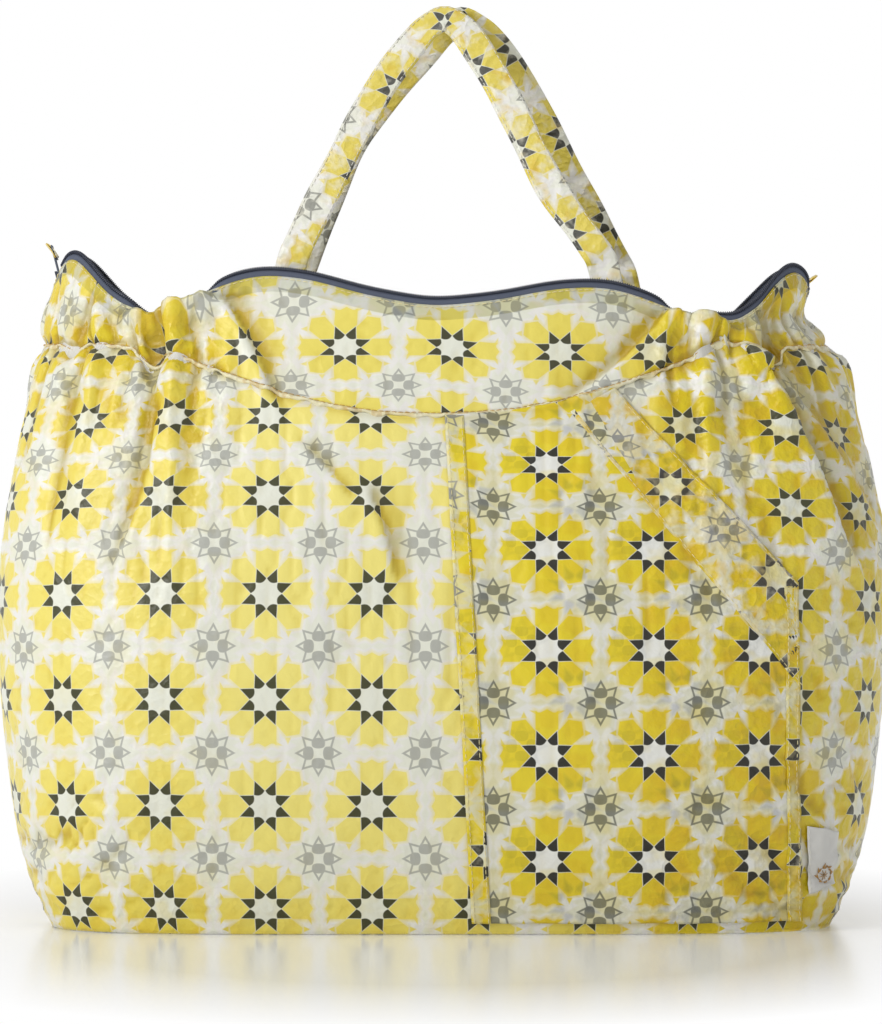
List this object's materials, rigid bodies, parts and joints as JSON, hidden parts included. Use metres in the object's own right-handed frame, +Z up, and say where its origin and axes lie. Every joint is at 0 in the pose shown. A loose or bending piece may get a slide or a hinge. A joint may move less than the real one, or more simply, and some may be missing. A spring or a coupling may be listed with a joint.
{
  "type": "foldable tote bag",
  "caption": "Foldable tote bag of thin printed cloth with an open zipped mouth, strap handles and a slanted front pocket.",
  "frame": {"origin": "on the floor, under the middle of the bag", "axes": "+X to the right as seen from the front, +Y from the front towards the back, +Z up; the front with the pocket faces -Y"},
  "size_m": [0.5002, 0.2233, 0.5216],
  "materials": {
    "printed_cloth": "satin",
    "printed_cloth_inside": "satin",
    "strap_cloth": "satin",
    "binding_tape": "matte",
    "elastic": "matte",
    "zip_tape": "matte",
    "zip_coil": "satin",
    "dark_metal": "gloss",
    "label_satin": "satin"
  },
  "bodies": {
    "bag": {"front_panel": "printed_cloth", "back_panel": "printed_cloth", "base_panel": "printed_cloth", "front_band": "printed_cloth", "back_band": "printed_cloth", "front_band_facing": "printed_cloth_inside", "back_band_facing": "printed_cloth_inside", "pocket_panel": "printed_cloth", "pocket_mouth_facing": "printed_cloth", "pocket_side_hem": "printed_cloth", "base_seam_binding": "binding_tape", "side_seam_binding_left": "binding_tape", "side_seam_binding_right": "binding_tape", "elastic_left": "elastic", "elastic_right": "elastic", "front_zip_tape": "zip_tape", "back_zip_tape": "zip_tape", "front_zip_coil": "zip_coil", "back_zip_coil": "zip_coil", "front_zip_top_stop": "dark_metal", "back_zip_top_stop": "dark_metal", "zip_bottom_stop": "dark_metal", "zip_closed_end": "zip_tape", "zip_end_tab_left": "printed_cloth", "zip_end_tab_right": "printed_cloth", "front_handle_leg_left": "strap_cloth", "front_handle_leg_right": "strap_cloth", "back_handle_leg_left": "strap_cloth", "back_handle_leg_right": "strap_cloth"},
    "front_handle": {"front_handle_arch": "strap_cloth"},
    "back_handle": {"back_handle_arch": "strap_cloth"},
    "zip_slider_body": {"zip_slider": "dark_metal"},
    "zip_pull_body": {"zip_pull": "dark_metal"},
    "label_body": {"label": "label_satin"}
  },
  "joints": [
    {"name": "front_handle_fold", "type": "hinge", "parent": "bag", "child": "front_handle", "pos_m": [0, -0.06804, 0.37166], "axis": [1, 0, 0], "range_deg": [0, 160]},
    {"name": "back_handle_fold", "type": "hinge", "parent": "bag", "child": "back_handle", "pos_m": [0, 0.06748, 0.37166], "axis": [-1, 0, 0], "range_deg": [0, 160]},
    {"name": "slider_slide", "type": "slide", "parent": "bag", "child": "zip_slider_body", "axis": [-0.2474, 0, 0.9689], "range_m": [0, 0.0056]},
    {"name": "pull_swing", "type": "hinge", "parent": "zip_slider_body", "child": "zip_pull_body", "pos_m": [-0.2149, 0, 0.36624], "axis": [0, -1, 0], "range_deg": [0, 165]},
    {"name": "label_flap", "type": "hinge", "parent": "bag", "child": "label_body", "pos_m": [0.20194, -0.0885, 0.0405], "axis": [-0.002, 0.127, -0.9919], "range_deg": [0, 150]}
  ]
}
